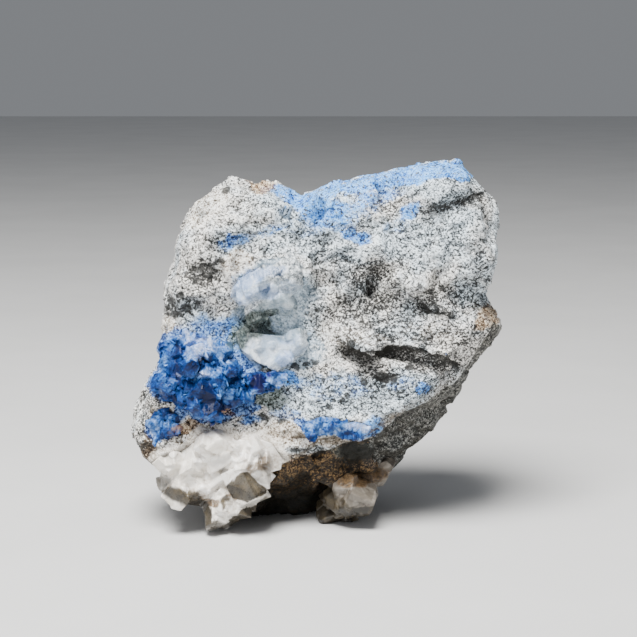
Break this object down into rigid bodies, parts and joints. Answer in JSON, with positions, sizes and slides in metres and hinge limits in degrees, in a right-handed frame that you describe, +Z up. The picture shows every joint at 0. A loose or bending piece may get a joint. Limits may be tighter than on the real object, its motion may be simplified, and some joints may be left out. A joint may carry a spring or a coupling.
{
  "type": "raw linarite",
  "caption": "Rough hand specimen of pale granular rock that carries azure-blue linarite crystals, with milky quartz at its lower corner and clear quartz in a pocket.",
  "frame": {"origin": "under the middle of the bounding box, on the plane the specimen stands on", "axes": "+Z up; the face with the blue crystals looks along -Y; +X to the right of a viewer who looks at that face"},
  "size_m": [0.0598, 0.0358, 0.0584],
  "materials": {
    "host_rock": "rough, sugary broken surface with black specks and rust stains",
    "milky_quartz": "translucent white, broken facets with a soft lustre",
    "brown_quartz": "greyish cream, dirty, partly glossy facets",
    "clear_quartz": "pale blue, glassy facets, see-through at the edges",
    "linarite": "glassy azure to navy blades"
  },
  "bodies": {
    "root": {"matrix_rock": "host_rock", "milky_quartz": "milky_quartz", "right_foot_quartz": "brown_quartz", "pocket_quartz_upper": "clear_quartz", "pocket_quartz_lower": "clear_quartz", "linarite_main_cluster": "linarite", "linarite_indigo_crystals": "linarite", "linarite_left_patch": "linarite", "linarite_lower_seam": "linarite"}
  },
  "joints": []
}
